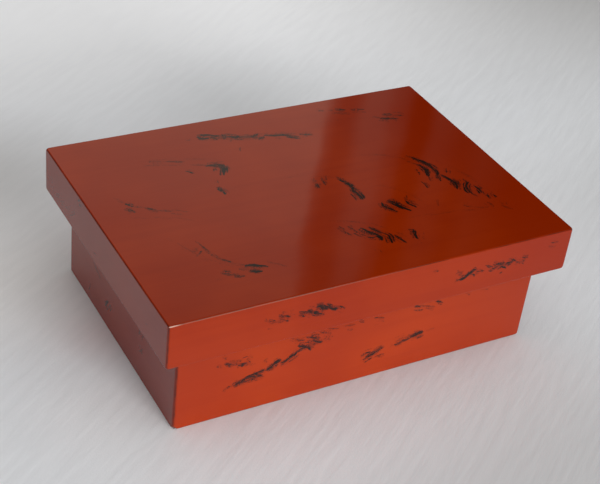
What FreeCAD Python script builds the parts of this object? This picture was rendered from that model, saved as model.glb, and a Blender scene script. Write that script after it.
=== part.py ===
"""Lacquered wooden box with a loose lid that overhangs its base all round.

The base and the lid are built alike, each as a tray: four mitred boards round a panel that sits in
their rabbets, held by feathers across the corners and by tapered pegs into the panel's edges, and
then coated. Red lacquer wraps the outside and the mouth, black lacquer lines the inside, and the
base has a black underside. The lid is such a tray turned over, and its ceiling lies on the base's
rim. Lengths are in millimetres.

The origin is on the surface that the box stands on, under its centre. +X runs along the long side,
-Y points to the front and +Z up.
"""

import FreeCAD, Part

import os
from dataclasses import dataclass
from math import cos, pi, sin

from FreeCAD import Vector

# Base, over its lacquer
base_length = 167.2
base_width = 113.2
base_height = 54.2

# Lid, over its lacquer, and its play round the base
lid_height = 20.2
lid_play = 1.8

# Coats of lacquer, each with its cloth and ground
red_coat = 0.8
black_coat = 0.6
underside_coat = 0.5

# Boards of the base, and the rabbet in its walls that takes the bottom board
base_wall_board = 4.2
base_bottom_board = 5.0
base_rabbet = 2.1

# Boards of the lid, and the rabbet in its rails that takes the top board
lid_rail_board = 5.2
lid_top_board = 4.6
lid_rabbet = 2.6

# Feathers glued into saw kerfs across the mitred corners
feather_thickness = 1.2
feather_depth_share = 0.72
base_feather_count = 3
lid_feather_count = 2

# Pegs whittled to a tapered eight-sided pin, through the boards' lips into the panel's edges
peg_flat_count = 8
peg_head_diameter = 2.2
peg_tip_diameter = 1.5
peg_length = 12.0
peg_clearance = 0.05
long_side_peg_count = 3
short_side_peg_count = 2

# Rounded edges of the lacquer
lid_corner_round = 1.0
lid_top_round = 0.6
base_corner_round = 1.2
base_foot_round = 0.5
mouth_round = 0.4
inner_corner_round = 2.0
inner_floor_round = 1.4

# Every cut runs past the faces it opens by this much
overrun = 1.0

# Which way each side faces, and which way it runs
SIDES = {
    "front": (Vector(0, -1, 0), Vector(1, 0, 0)),
    "back": (Vector(0, 1, 0), Vector(1, 0, 0)),
    "left": (Vector(-1, 0, 0), Vector(0, 1, 0)),
    "right": (Vector(1, 0, 0), Vector(0, 1, 0)),
}
CORNERS = [(across, along) for across in ("front", "back") for along in ("left", "right")]


@dataclass
class Tray:
    """One half of the box, with its closed face at z = 0 and its mouth at z = height."""

    length: float
    width: float
    height: float
    board: float
    panel: float
    rabbet: float
    face_coat: float
    feathers: int
    corner_round: float
    face_round: float

    @property
    def core_length(self):
        """Length over the bare boards."""
        return self.length - 2 * red_coat

    @property
    def core_width(self):
        """Width over the bare boards."""
        return self.width - 2 * red_coat

    @property
    def core_top(self):
        """Where the boards end below the coat on the mouth."""
        return self.height - red_coat

    @property
    def panel_top(self):
        """The panel's inner wooden face."""
        return self.face_coat + self.panel

    @property
    def floor(self):
        """The lacquered surface that the cavity ends on."""
        return self.panel_top + black_coat

    @property
    def wall(self):
        """A finished wall, with both of its coats."""
        return red_coat + self.board + black_coat


base = Tray(
    length=base_length,
    width=base_width,
    height=base_height,
    board=base_wall_board,
    panel=base_bottom_board,
    rabbet=base_rabbet,
    face_coat=underside_coat,
    feathers=base_feather_count,
    corner_round=base_corner_round,
    face_round=base_foot_round,
)

overhang = lid_play + red_coat + lid_rail_board + black_coat

lid = Tray(
    length=base_length + 2 * overhang,
    width=base_width + 2 * overhang,
    height=lid_height,
    board=lid_rail_board,
    panel=lid_top_board,
    rabbet=lid_rabbet,
    face_coat=red_coat,
    feathers=lid_feather_count,
    corner_round=lid_corner_round,
    face_round=lid_top_round,
)

overall_height = base_height + lid.floor


def block(length, width, low, high):
    """A sharp block centred on the Z axis between two heights."""
    return Part.makeBox(length, width, high - low, Vector(-length / 2, -width / 2, low))


def flat_face(points):
    """A flat face inside the closed outline through some points."""
    return Part.Face(Part.makePolygon(points + points[:1]))


def prism(points, low, high):
    """An upright prism over a closed outline."""
    lift = Vector(0, 0, low)
    return flat_face([point + lift for point in points]).extrude(Vector(0, 0, high - low))


def round_upright(shape, radius):
    """Round the edges that run straight up."""
    upright = [edge for edge in shape.Edges if edge.BoundBox.ZLength > shape.BoundBox.ZLength / 2]
    return shape.makeFillet(radius, upright)


def round_level(shape, radius, height):
    """Round the edges that lie in the level plane at one height."""
    level = [edge for edge in shape.Edges if lies_level(edge, height)]
    return shape.makeFillet(radius, level)


def lies_level(edge, height):
    """Whether all of an edge lies at one height, within a small part of its own length."""
    slack = edge.Length / 1000
    box = edge.BoundBox
    return abs(box.ZMin - height) < slack and abs(box.ZMax - height) < slack


def reach(tray, direction, inset):
    """From the centre to a wooden face of the tray, moved in by an inset."""
    half = tray.core_length / 2 if direction.x else tray.core_width / 2
    return half - inset


def cavity(tray, low):
    """The space inside the tray, from a height to past its mouth, with rounded corners."""
    space = block(tray.length - 2 * tray.wall, tray.width - 2 * tray.wall, low, tray.height + overrun)
    return round_upright(space, inner_corner_round)


def feather(tray, across, along, height):
    """A three-cornered slip across one mitre, flush with the boards' outer faces."""
    ends = [SIDES[side][0] for side in (across, along)]
    corner = ends[0] * reach(tray, ends[0], 0) + ends[1] * reach(tray, ends[1], 0)
    leg = 2 * tray.board * feather_depth_share
    points = [corner, corner - ends[0] * leg, corner - ends[1] * leg]
    return prism(points, height - feather_thickness / 2, height + feather_thickness / 2)


def corner_feathers(tray, across, along):
    """The feathers of one corner, evenly spaced between the panel and the mouth."""
    pitch = (tray.core_top - tray.panel_top) / (tray.feathers + 1)
    heights = [tray.panel_top + pitch * (i + 1) for i in range(tray.feathers)]
    return [feather(tray, across, along, height) for height in heights]


def ring(centre, run, radius):
    """The corners of a peg's section, with one of its flats on top."""
    turns = [2 * pi * (i + 0.5) / peg_flat_count for i in range(peg_flat_count)]
    return [centre + run * radius * cos(turn) + Vector(0, 0, radius * sin(turn)) for turn in turns]


def peg(head, outward, run, clearance):
    """A tapered peg from the middle of its head inward, grown by a clearance to make its hole."""
    tip = head - outward * (peg_length + clearance)
    wide = ring(head, run, peg_head_diameter / 2 + clearance)
    narrow = ring(tip, run, peg_tip_diameter / 2 + clearance)
    flats = [flat_face([wide[i - 1], wide[i], narrow[i], narrow[i - 1]]) for i in range(peg_flat_count)]
    return Part.makeSolid(Part.makeShell([flat_face(wide), flat_face(narrow)] + flats))


def pegs(tray, side, clearance):
    """The pegs of one side, spaced evenly along the board's outer face."""
    outward, run = SIDES[side]
    count = long_side_peg_count if run.x else short_side_peg_count
    pitch = 2 * reach(tray, run, 0) / count
    middle = outward * reach(tray, outward, 0) + Vector(0, 0, tray.face_coat + tray.panel / 2)
    heads = [middle + run * pitch * (i - (count - 1) / 2) for i in range(count)]
    return [peg(head, outward, run, clearance) for head in heads]


def all_pegs(tray, clearance):
    return [peg for side in SIDES for peg in pegs(tray, side, clearance)]


def board(tray, side):
    """A mitred board with its rabbet, the kerfs at its ends and its peg holes."""
    outward, run = SIDES[side]
    outer = outward * reach(tray, outward, 0)
    inner = outward * reach(tray, outward, tray.board)
    long_edge = run * reach(tray, run, 0)
    short_edge = run * reach(tray, run, tray.board)
    outline = [outer - long_edge, outer + long_edge, inner + short_edge, inner - short_edge]
    solid = prism(outline, tray.face_coat, tray.core_top)
    kerfs = [slip for corner in CORNERS if side in corner for slip in corner_feathers(tray, *corner)]
    seat = panel_block(tray, tray.face_coat - overrun)
    return solid.cut([seat] + kerfs + pegs(tray, side, peg_clearance))


def panel_block(tray, low):
    """The block between the boards' rabbets, up to the panel's inner face."""
    lip = tray.board - tray.rabbet
    return block(tray.core_length - 2 * lip, tray.core_width - 2 * lip, low, tray.panel_top)


def panel(tray):
    """The board that closes the tray, with its peg holes."""
    return panel_block(tray, tray.face_coat).cut(all_pegs(tray, peg_clearance))


def outer_lacquer(tray, core_bottom):
    """Red coat on the walls and over the mouth, and on the closed face above the core's bottom."""
    outside = round_upright(block(tray.length, tray.width, 0, tray.height), tray.corner_round)
    outside = round_level(outside, tray.face_round, 0)
    core = block(tray.core_length, tray.core_width, core_bottom, tray.core_top)
    coat = outside.cut([core, cavity(tray, tray.core_top - overrun)])
    return round_level(coat, mouth_round, tray.height)


def inner_lacquer(tray):
    """Black coat on the floor and the walls, thicker where it rounds out the corners."""
    length = tray.core_length - 2 * tray.board
    width = tray.core_width - 2 * tray.board
    lining = block(length, width, tray.panel_top, tray.core_top)
    return lining.cut(round_level(cavity(tray, tray.floor), inner_floor_round, tray.floor))


def underside_lacquer(tray):
    """Black coat under the boards and the panel, framed by the red one."""
    return block(tray.core_length, tray.core_width, 0, tray.face_coat)


def turned_over(shape):
    """The shape mirrored top to bottom, into the place of the closed lid."""
    turned = shape.mirror(Vector(0, 0, 0), Vector(0, 0, 1))
    turned.translate(Vector(0, 0, overall_height))
    return turned


def wooden_pieces(tray, prefix, side_name, panel_name):
    """The names and shapes of a tray's boards, panel, feathers and pegs."""
    pieces = {prefix + "_" + side + "_" + side_name: board(tray, side) for side in SIDES}
    pieces[prefix + "_" + panel_name + "_board"] = panel(tray)
    for across, along in CORNERS:
        name = prefix + "_feathers_" + across + "_" + along
        pieces[name] = Part.makeCompound(corner_feathers(tray, across, along))
    pieces[prefix + "_" + panel_name + "_pegs"] = Part.makeCompound(all_pegs(tray, 0))
    return pieces


def base_pieces():
    pieces = wooden_pieces(base, "base", "board", "bottom")
    pieces["base_outer_lacquer"] = outer_lacquer(base, -overrun)
    pieces["base_inner_lacquer"] = inner_lacquer(base)
    pieces["base_underside_lacquer"] = underside_lacquer(base)
    return pieces


def lid_pieces():
    pieces = wooden_pieces(lid, "lid", "rail", "top")
    pieces["lid_outer_lacquer"] = outer_lacquer(lid, lid.face_coat)
    pieces["lid_inner_lacquer"] = inner_lacquer(lid)
    return {name: turned_over(shape) for name, shape in pieces.items()}


def write_parts():
    os.makedirs("parts", exist_ok=True)
    pieces = {**base_pieces(), **lid_pieces()}
    for name, shape in pieces.items():
        shape.exportStep(os.path.join("parts", name + ".step"))
    print(len(pieces), "nodes,", sum(len(shape.Solids) for shape in pieces.values()), "solids")


write_parts()
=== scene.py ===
"""The lacquered box as it looks, with its floor, its light and its camera.

The box is red lacquer with dark marks outside and black lacquer inside and underneath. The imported
model gives the places and the sizes, in metres: +X runs along the long side, -Y points to the front
and +Z up. Small sizes are written in millimetres, and the marks in tenths of one.
"""

from dataclasses import dataclass
from math import cos, hypot, pi, radians, sin

import bmesh
import bpy
import numpy as np
from mathutils import Euler, Matrix, Vector

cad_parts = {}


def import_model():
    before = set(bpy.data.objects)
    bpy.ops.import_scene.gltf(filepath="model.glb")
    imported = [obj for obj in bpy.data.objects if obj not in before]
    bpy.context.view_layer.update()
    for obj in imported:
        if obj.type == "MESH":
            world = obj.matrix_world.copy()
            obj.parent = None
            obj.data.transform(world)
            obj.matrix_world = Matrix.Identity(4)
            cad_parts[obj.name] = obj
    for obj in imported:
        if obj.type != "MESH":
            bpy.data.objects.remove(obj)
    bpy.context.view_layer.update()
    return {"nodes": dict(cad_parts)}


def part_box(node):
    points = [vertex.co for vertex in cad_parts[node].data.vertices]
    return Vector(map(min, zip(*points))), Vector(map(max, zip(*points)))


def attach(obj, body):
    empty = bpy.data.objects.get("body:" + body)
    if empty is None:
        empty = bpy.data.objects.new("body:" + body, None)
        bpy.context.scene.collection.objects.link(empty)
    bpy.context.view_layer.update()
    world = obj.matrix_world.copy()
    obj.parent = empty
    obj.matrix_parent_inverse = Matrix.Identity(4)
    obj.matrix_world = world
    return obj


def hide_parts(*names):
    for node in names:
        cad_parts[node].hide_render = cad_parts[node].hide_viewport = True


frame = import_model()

MM = 0.001

# Coats and rounded edges, in mm
BLACK_COAT = 0.6
LID_CORNER_ROUND = 1.0
LID_TOP_ROUND = 0.6
BASE_CORNER_ROUND = 1.2
BASE_FOOT_ROUND = 0.5
MOUTH_ROUND = 0.4
INNER_CORNER_ROUND = 2.0
INNER_FLOOR_ROUND = 1.4

# Mesh of the coats in mm: the spacing of its points, the gap from a rounded edge to the next loop
# and the reach of a weld, and then the segments of a rounded edge
RED_SPACING = 0.5
BLACK_SPACING = 3.0
EDGE_LOOP = 0.08
WELD = 0.001
ROUND_SEGMENTS = 5

# Camera, with its place in mm, its turns in degrees and its lens in mm on a 36 mm sensor
CAMERA_PLACE = (-256.85, -405.94, 362.98)
CAMERA_HEADING = 32.29
CAMERA_DIP = 34.54
CAMERA_ROLL = 7.13
CAMERA_LENS = 80.88
SENSOR_WIDTH = 36.0

# Key light, with its place and size in metres
KEY_PLACE = (0.50, -3.32, 0.60)
KEY_SIZE = (1.3, 1.14)
KEY_LEVEL = 0.77

# Even light, and how much brighter it gets towards +X, +Y and +Z
AMBIENT_LEVEL = 0.60
AMBIENT_LEAN = (0.26, -0.46, 0.0)

# Marks, each as its darkness in percent and then, in tenths of a mm, how far across, how far up and
# how wide it is at each of its points from head to tail. The top's marks run in x and y, those of
# the front and the back in x and z, and the sides' in y and z.
PERCENT = 100
TENTHS = 10
MARKS = {}
MARKS["lid", "top"] = (
    (30, -328, 522, 6, -314, 519, 14, -302, 519, 6),
    (90, -260, 534, 6, -238, 533, 14, -214, 527, 14, -190, 516, 8),
    (90, -266, 526, 8, -258, 514, 20, -242, 507, 25, -224, 506, 10),
    (85, -214, 508, 8, -199, 496, 18, -193, 480, 7),
    (80, -204, 512, 8, -176, 505, 18, -148, 503, 8),
    (85, -156, 512, 6, -149, 497, 17, -156, 482, 12, -166, 472, 5),
    (95, -146, 490, 8, -126, 482, 21, -104, 473, 24, -84, 465, 8),
    (50, -82, 481, 6, -60, 481, 14, -42, 476, 6),
    (70, -80, 466, 8, -54, 461, 17, -30, 454, 17, -10, 452, 6),
    (80, -30, 454, 7, -14, 462, 16, 2, 470, 6),
    (70, -36, 444, 5, -24, 440, 12, -14, 438, 5),
    (90, -16, 425, 6, -2, 432, 18, 14, 437, 7),
    (95, 24, 449, 6, 46, 439, 12, 70, 431, 16, 96, 426, 14, 120, 417, 17, 136, 408, 7),
    (80, 112, 406, 6, 128, 398, 16, 146, 386, 15, 164, 374, 6),
    (70, 134, 410, 5, 150, 400, 12, 166, 387, 6),
    (30, 62, 412, 5, 76, 402, 12, 79, 386, 5),
    (80, 184, 394, 6, 200, 394, 14, 216, 390, 11, 234, 383, 5),
    (25, 170, 412, 5, 204, 404, 10, 240, 392, 5),
    (22, 5, 460, 14, 60, 452, 22, 120, 434, 22, 170, 414, 10),
    (22, -220, 486, 10, -140, 466, 20, -60, 444, 20, 0, 420, 10),
    (24, -126, 388, 6, -136, 372, 12, -138, 360, 5),
    (25, -585, 382, 6, -554, 374, 12, -520, 364, 6),
    (30, -550, 406, 6, -515, 396, 11, -480, 384, 5),
    (50, -474, 382, 6, -446, 372, 12, -424, 363, 12, -406, 358, 5),
    (25, -505, 360, 5, -460, 348, 8, -415, 338, 5),
    (42, -430, 286, 8, -416, 274, 18, -406, 262, 8),
    (40, -388, 326, 5, -354, 313, 12, -322, 302, 8),
    (35, -316, 316, 5, -278, 311, 10, -246, 304, 5),
    (100, -330, 295, 10, -310, 294, 17, -290, 286, 21, -272, 276, 26, -266, 260, 29, -272, 242, 24,
     -282, 224, 14, -290, 208, 5),
    (90, -294, 288, 6, -276, 286, 14, -260, 278, 16, -258, 262, 8),
    (25, -330, 186, 6, -340, 168, 12, -349, 148, 6),
    (90, -358, 126, 7, -353, 106, 19, -348, 90, 14, -349, 72, 5),
    (85, -762, 140, 8, -753, 127, 19, -744, 114, 8),
    (60, -772, 106, 6, -763, 90, 18, -750, 72, 7),
    (30, -786, 96, 5, -778, 82, 11, -772, 70, 5),
    (30, -796, 194, 5, -778, 164, 10, -762, 140, 5),
    (30, -742, 114, 5, -722, 103, 11, -704, 89, 5),
    (48, -698, 86, 6, -682, 66, 16, -664, 48, 7),
    (35, -660, 54, 6, -620, 37, 12, -584, 23, 12, -550, 4, 5),
    (28, 356, 571, 6, 374, 565, 18, 392, 560, 6),
    (30, 410, 554, 5, 436, 550, 10, 454, 546, 5),
    (75, 450, 547, 7, 468, 541, 17, 488, 535, 8),
    (65, 518, 528, 6, 544, 519, 16, 578, 510, 6),
    (35, 416, 528, 5, 454, 515, 11, 494, 503, 5),
    (35, 586, 436, 6, 600, 427, 14, 612, 420, 6),
    (30, 590, 398, 5, 616, 388, 10, 636, 380, 5),
    (85, 608, 412, 6, 634, 405, 15, 658, 399, 7),
    (75, 650, 400, 6, 670, 391, 15, 688, 386, 6),
    (65, 636, 436, 5, 656, 430, 14, 680, 425, 5),
    (45, 686, 420, 5, 710, 410, 12, 736, 402, 5),
    (30, 698, 442, 5, 720, 438, 9, 740, 433, 5),
    (75, 53, 18, 6, 51, 1, 16, 49, -15, 6),
    (40, 62, 58, 5, 58, 38, 12, 53, 16, 8),
    (50, 99, 52, 5, 90, 26, 12, 86, -2, 6),
    (30, 122, 60, 5, 113, 42, 10, 106, 24, 5),
    (60, 162, 36, 5, 169, 14, 17, 176, -10, 14),
    (100, 172, 2, 8, 183, -30, 18, 187, -58, 19, 183, -86, 26, 185, -110, 25, 186, -132, 22,
     183, -152, 7),
    (35, 200, -50, 5, 197, -78, 10, 198, -106, 5),
    (35, 526, 48, 5, 544, 24, 10, 560, -2, 8),
    (40, 552, 90, 5, 564, 66, 12, 578, 42, 10),
    (100, 566, 64, 6, 580, 38, 13, 594, 10, 19, 605, -16, 23, 611, -44, 26, 608, -70, 21,
     597, -96, 10),
    (70, 598, -92, 8, 587, -112, 17, 580, -142, 6),
    (100, 561, 10, 7, 568, -16, 20, 569, -40, 26, 562, -64, 22, 552, -90, 8),
    (35, 530, -24, 5, 527, -46, 11, 521, -68, 5),
    (40, 554, -90, 5, 546, -108, 10, 542, -130, 5),
    (40, 660, -64, 5, 652, -78, 13, 645, -92, 5),
    (55, 497, -120, 5, 501, -144, 14, 498, -170, 5),
    (20, 486, -260, 6, 474, -286, 14, 464, -308, 6),
    (100, 614, -102, 7, 621, -132, 18, 628, -156, 26, 634, -178, 32, 627, -200, 19, 617, -222, 6),
    (70, 642, -154, 6, 651, -169, 14, 646, -190, 6),
    (100, 695, -192, 7, 681, -201, 20, 669, -214, 19, 659, -232, 20, 654, -248, 24, 659, -266, 9),
    (45, 686, -160, 5, 686, -178, 13, 685, -194, 9),
    (35, 654, -260, 6, 662, -280, 12, 668, -300, 5),
    (75, 705, -220, 5, 710, -252, 13, 704, -284, 5),
    (35, 706, -282, 5, 714, -304, 9),
    (90, 715, -304, 7, 719, -317, 18, 718, -332, 6),
    (30, 748, -356, 6, 744, -376, 12, 738, -392, 5),
    (35, 728, -396, 5, 742, -414, 11, 758, -434, 5),
    (30, 570, -338, 5, 586, -352, 12, 602, -360, 5),
    (28, 606, -368, 5, 636, -380, 12, 664, -388, 5),
    (28, 682, -354, 5, 690, -376, 12, 686, -394, 5),
    (95, 246, -202, 5, 242, -226, 18, 247, -244, 27, 260, -264, 17, 274, -286, 6),
    (40, 228, -206, 5, 227, -232, 12, 234, -254, 5),
    (100, 276, -202, 8, 292, -219, 32, 302, -242, 38, 314, -266, 26, 334, -296, 6),
    (40, 306, -196, 5, 310, -214, 14, 316, -234, 6),
    (85, 350, -230, 6, 357, -254, 21, 368, -280, 8),
    (40, 374, -192, 5, 360, -214, 14, 354, -238, 8),
    (50, -22, -306, 6, -10, -334, 14, 4, -370, 6),
    (55, 18, -310, 5, 26, -332, 15, 36, -358, 7),
    (40, 34, -350, 6, 44, -374, 13, 58, -396, 6),
    (95, 65, -340, 5, 76, -364, 14, 88, -386, 19, 101, -406, 21, 108, -422, 21, 104, -440, 7),
    (95, 102, -346, 6, 113, -374, 18, 132, -398, 16, 146, -420, 20, 143, -444, 24, 136, -470, 8),
    (50, 54, -400, 5, 70, -412, 15, 86, -418, 6),
    (80, 170, -428, 5, 178, -456, 17, 189, -494, 6),
    (35, 186, -418, 5, 204, -430, 10),
    (80, 266, -420, 6, 261, -440, 17, 253, -462, 18, 247, -484, 6),
    (50, 249, -422, 5, 243, -442, 12, 241, -464, 5),
    (30, 248, -480, 6, 246, -512, 8),
    (30, 53, -484, 5, 59, -512, 8),
    (30, -650, -266, 8, -634, -250, 20, -618, -240, 8),
    (25, -644, -290, 6, -626, -274, 16, -610, -262, 6),
    (33, -602, -194, 6, -598, -240, 12, -586, -284, 14, -570, -326, 15, -544, -360, 12,
     -514, -390, 12, -488, -408, 8),
    (95, -494, -408, 7, -468, -418, 17, -450, -427, 18, -432, -436, 13, -416, -443, 5),
    (90, -490, -444, 7, -470, -455, 20, -452, -462, 7),
    (40, -524, -422, 6, -508, -429, 15, -494, -436, 6),
    (75, -600, -422, 6, -578, -433, 16, -558, -448, 7),
    (65, -560, -452, 6, -544, -460, 16, -528, -468, 6),
    (30, -402, -414, 5, -370, -440, 13, -344, -468, 5),
    (22, -642, -446, 5, -624, -456, 12),
    (14, 360, 160, 12, 460, 120, 24, 530, 60, 24, 580, -30, 12),
    (14, 640, 40, 12, 690, -60, 22, 730, -180, 24, 750, -310, 12),
    (13, 260, -60, 10, 340, -110, 22, 400, -190, 22, 420, -300, 10),
    (14, -40, -250, 10, 60, -290, 24, 150, -360, 24, 210, -460, 10),
    (13, 280, -340, 10, 400, -350, 20, 540, -370, 20, 680, -410, 10),
    (13, -40, 100, 10, 40, 86, 20, 120, 56, 16, 170, 10, 10),
    (14, -700, -140, 10, -660, -240, 24, -600, -340, 24, -520, -430, 10),
    (13, -580, 420, 10, -480, 404, 22, -360, 364, 22, -260, 324, 10),
    (13, -800, 40, 10, -720, 20, 20, -620, -20, 20, -540, -70, 10),
    (13, 300, 470, 10, 420, 464, 20, 560, 440, 20, 700, 386, 10),
)
MARKS["lid", "front"] = (
    (30, -526, 524, 6, -514, 519, 11, -504, 516, 6),
    (55, -506, 511, 6, -490, 506, 14, -476, 501, 5),
    (50, -466, 528, 5, -452, 522, 13, -438, 518, 6),
    (35, -466, 495, 5, -452, 498, 10, -438, 501, 5),
    (65, -440, 521, 5, -428, 514, 14, -416, 509, 5),
    (40, -438, 509, 5, -428, 505, 10),
    (30, -418, 518, 5, -400, 513, 9),
    (85, -376, 520, 6, -360, 516, 14, -344, 514, 11, -330, 511, 16, -319, 500, 7),
    (60, -372, 510, 5, -361, 502, 14, -352, 494, 5),
    (90, -314, 504, 7, -302, 495, 19, -292, 488, 9),
    (80, -296, 490, 6, -280, 485, 14, -264, 480, 5),
    (100, -302, 524, 8, -287, 523, 21, -275, 515, 19, -266, 507, 16, -252, 503, 8),
    (90, -268, 520, 7, -252, 515, 18, -243, 508, 14, -238, 502, 6),
    (85, -248, 505, 6, -232, 499, 10, -218, 496, 16, -204, 489, 5),
    (40, -202, 500, 5, -187, 490, 11, -172, 481, 5),
    (25, -334, 537, 4, -316, 531, 8, -302, 525, 4),
    (30, -346, 494, 4, -334, 487, 8, -326, 482, 4),
    (60, 342, 517, 5, 354, 511, 11, 368, 505, 5),
    (50, 346, 488, 6, 351, 480, 12),
    (95, 364, 483, 7, 380, 487, 18, 394, 491, 15, 406, 500, 14, 416, 505, 15, 424, 511, 10,
     438, 519, 5),
    (40, 422, 494, 4, 432, 488, 9, 442, 482, 4),
    (60, 444, 502, 5, 464, 498, 11, 482, 493, 5),
    (30, 454, 510, 4, 464, 506, 8),
    (45, 488, 520, 5, 506, 512, 13, 524, 504, 5),
    (50, 508, 491, 5, 520, 486, 10, 530, 483, 4),
    (45, 522, 518, 4, 536, 510, 10, 546, 502, 4),
    (65, 520, 494, 5, 538, 498, 13, 554, 504, 12),
    (90, 540, 516, 6, 555, 510, 19, 568, 508, 17, 582, 515, 7),
    (80, 542, 494, 6, 552, 501, 14, 562, 506, 7),
    (65, 566, 496, 6, 582, 490, 13, 596, 482, 5),
    (80, 588, 502, 6, 606, 505, 17, 624, 506, 8),
    (40, 600, 520, 4, 610, 516, 9, 618, 514, 4),
    (80, 618, 519, 5, 630, 515, 14, 644, 509, 5),
    (45, 642, 498, 4, 654, 494, 10, 662, 492, 4),
    (75, 664, 490, 6, 676, 494, 15, 688, 489, 6),
    (65, 670, 517, 5, 684, 513, 13, 702, 507, 5),
    (40, 228, 564, 5, 238, 558, 10, 248, 555, 5),
    (30, 804, 541, 5, 818, 535, 12, 832, 530, 5),
    (30, 810, 561, 6, 828, 557, 14, 850, 553, 6),
)
MARKS["lid", "back"] = (
    (30, 580, 478, 5, 545, 486, 10, 510, 492, 5),
    (90, 496, 493, 6, 474, 500, 15, 450, 506, 12, 434, 514, 6),
    (60, 460, 522, 5, 438, 526, 10, 416, 532, 5),
    (85, 420, 506, 5, 402, 513, 15, 384, 522, 6),
    (35, 376, 520, 5, 345, 529, 9, 314, 536, 5),
    (50, -210, 462, 5, -240, 468, 12, -270, 478, 5),
    (95, -276, 476, 7, -298, 486, 17, -320, 492, 13, -342, 500, 6),
    (75, -306, 504, 5, -328, 512, 11, -354, 518, 5),
    (30, -370, 510, 5, -410, 522, 9, -454, 530, 5),
)
MARKS["lid", "left"] = (
    (35, 295, 496, 5, 312, 482, 11, 330, 466, 10, 350, 452, 5),
    (30, 340, 484, 5, 380, 464, 11, 420, 449, 5),
    (30, 410, 472, 5, 450, 452, 11, 490, 439, 5),
    (25, 470, 466, 5, 510, 446, 11, 550, 432, 5),
    (55, 236, 592, 6, 246, 586, 12, 258, 578, 6),
    (20, -470, 484, 5, -454, 475, 11, -438, 468, 5),
    (18, 20, 456, 5, 54, 446, 9, 80, 439, 5),
)
MARKS["lid", "right"] = (
    (40, -380, 460, 5, -350, 470, 11, -324, 482, 5),
    (90, -330, 469, 6, -308, 480, 16, -286, 488, 13, -264, 498, 6),
    (70, -290, 503, 5, -268, 510, 12, -242, 516, 5),
    (30, -226, 514, 5, -190, 523, 9, -150, 528, 5),
    (60, 310, 530, 5, 334, 522, 12, 360, 513, 5),
    (35, 366, 518, 5, 400, 507, 9, 430, 498, 5),
)
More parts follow.
